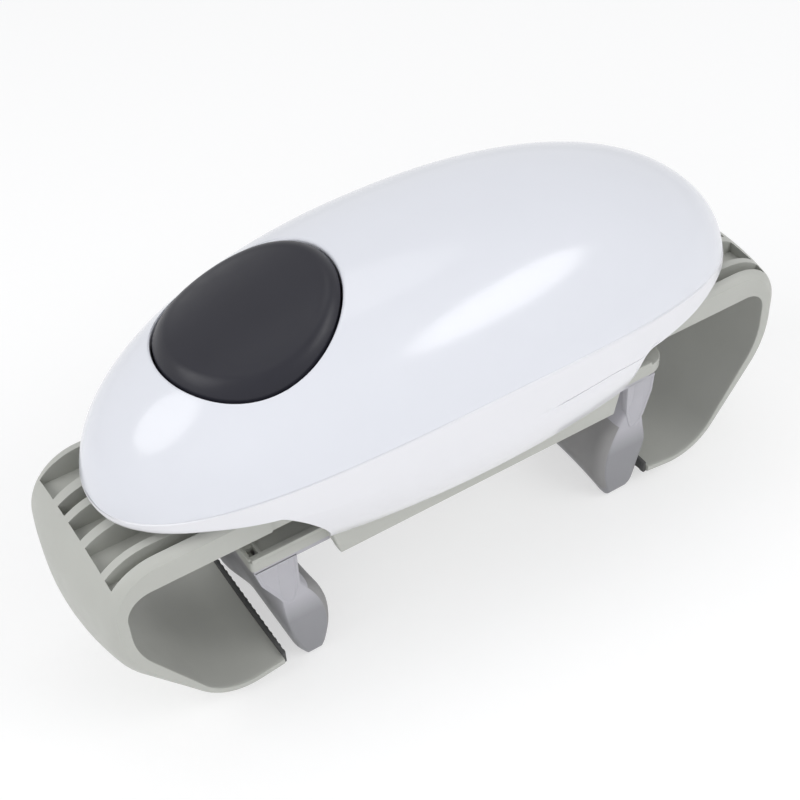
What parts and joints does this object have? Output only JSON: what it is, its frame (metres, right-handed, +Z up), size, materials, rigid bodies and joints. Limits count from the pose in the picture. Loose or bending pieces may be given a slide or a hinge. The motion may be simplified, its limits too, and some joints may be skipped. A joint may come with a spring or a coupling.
{
  "type": "electric jar opener",
  "caption": "Egg-shaped electric jar opener with a round top button, two C-shaped arms that close on the jar and a turning carrier whose sliding grippers close on the lid.",
  "frame": {"origin": "on the table under the middle of the housing, on the axis about which the carrier turns", "axes": "+X along the length, away from the button; +Y to the back, where the battery door is; +Z up"},
  "size_m": [0.2198, 0.0874, 0.1151],
  "materials": {
    "shell": "gloss",
    "button": "satin",
    "warm_grey": "satin",
    "cool_grey": "satin",
    "rubber": "matte",
    "lid_rubber": "matte",
    "steel": "satin",
    "gear_plastic": "satin",
    "frame_plastic": "matte",
    "brass": "satin",
    "board": "satin",
    "dark_plastic": "matte",
    "cell": "satin"
  },
  "bodies": {
    "housing": {"upper_shell": "shell", "lower_shell": "shell", "button_spring": "steel", "switch": "dark_plastic", "circuit_board": "board", "gear_base": "frame_plastic", "gear_plate": "frame_plastic", "gear_cover": "frame_plastic", "gear_pins": "steel", "motor": "steel", "battery_upper": "cell", "battery_lower": "cell", "battery_contacts": "steel", "shell_screws": "steel"},
    "battery_door": {"battery_door": "shell"},
    "button": {"button": "button"},
    "drive": {"drive_gear": "gear_plastic", "drive_shaft": "steel"},
    "second_gear": {"second_gear": "gear_plastic"},
    "first_gear": {"first_gear": "gear_plastic"},
    "motor_pinion": {"motor_pinion": "brass"},
    "arm_pinion": {"arm_pinion": "gear_plastic"},
    "arm_left": {"jar_arm_left": "warm_grey", "jar_pad_left": "rubber"},
    "arm_right": {"jar_arm_right": "warm_grey", "jar_pad_right": "rubber"},
    "carrier": {"carrier": "warm_grey", "carrier_ring": "steel", "pinion_screw": "steel"},
    "gripper_pinion": {"gripper_pinion": "gear_plastic"},
    "gripper_left": {"lid_gripper_left": "cool_grey", "lid_pad_left": "lid_rubber"},
    "gripper_right": {"lid_gripper_right": "cool_grey", "lid_pad_right": "lid_rubber"}
  },
  "joints": [
    {"name": "drive_turn", "type": "hinge", "parent": "housing", "child": "drive", "pos_m": [0, 0, 0], "axis": [0, 0, 1], "range_deg": [0, 178.25]},
    {"name": "arm_pinion_turn", "type": "hinge", "parent": "housing", "child": "arm_pinion", "pos_m": [0, 0, 0], "axis": [0, 0, 1], "range_deg": [0, 178.25]},
    {"name": "second_gear_turn", "type": "hinge", "parent": "housing", "child": "second_gear", "pos_m": [0.0156, 0, 0], "axis": [0, 0, 1], "range_deg": [-595, 0]},
    {"name": "first_gear_turn", "type": "hinge", "parent": "housing", "child": "first_gear", "pos_m": [0.0294, 0, 0], "axis": [0, 0, 1], "range_deg": [0, 2140]},
    {"name": "motor_turn", "type": "hinge", "parent": "housing", "child": "motor_pinion", "pos_m": [0.0432, 0, 0], "axis": [0, 0, 1], "range_deg": [-7701, 0]},
    {"name": "arm_left_slide", "type": "slide", "parent": "housing", "child": "arm_left", "axis": [1, 0, 0], "range_m": [0, 0.028]},
    {"name": "arm_right_slide", "type": "slide", "parent": "housing", "child": "arm_right", "axis": [-1, 0, 0], "range_m": [0, 0.028]},
    {"name": "carrier_turn", "type": "hinge", "parent": "housing", "child": "carrier", "pos_m": [0, 0, 0], "axis": [0, 0, 1], "continuous": true},
    {"name": "gripper_pinion_turn", "type": "hinge", "parent": "carrier", "child": "gripper_pinion", "pos_m": [0, 0, 0], "axis": [0, 0, 1], "range_deg": [0, 178.25]},
    {"name": "gripper_left_slide", "type": "slide", "parent": "carrier", "child": "gripper_left", "axis": [1, 0, 0], "range_m": [0, 0.028]},
    {"name": "gripper_right_slide", "type": "slide", "parent": "carrier", "child": "gripper_right", "axis": [-1, 0, 0], "range_m": [0, 0.028]},
    {"name": "button_press", "type": "slide", "parent": "housing", "child": "button", "axis": [0, 0, 1], "range_m": [-0.002, 0], "stiffness_N_per_m": 600, "springref_m": 0.003, "deforming": ["button_spring"]},
    {"name": "battery_door_slide", "type": "slide", "parent": "housing", "child": "battery_door", "axis": [0, 1, 0], "range_m": [0, 0.02]}
  ],
  "couplings": [
    {"joint": "arm_pinion_turn", "follows": "drive_turn", "ratio": 1},
    {"joint": "second_gear_turn", "follows": "drive_turn", "ratio": -3.3333},
    {"joint": "first_gear_turn", "follows": "drive_turn", "ratio": 12},
    {"joint": "motor_turn", "follows": "drive_turn", "ratio": -43.2},
    {"joint": "arm_left_slide", "follows": "drive_turn", "m_per_rad": 0.009},
    {"joint": "arm_right_slide", "follows": "drive_turn", "m_per_rad": 0.009},
    {"joint": "gripper_pinion_turn", "follows": "drive_turn", "ratio": 1},
    {"joint": "gripper_left_slide", "follows": "drive_turn", "m_per_rad": 0.009},
    {"joint": "gripper_right_slide", "follows": "drive_turn", "m_per_rad": 0.009}
  ]
}
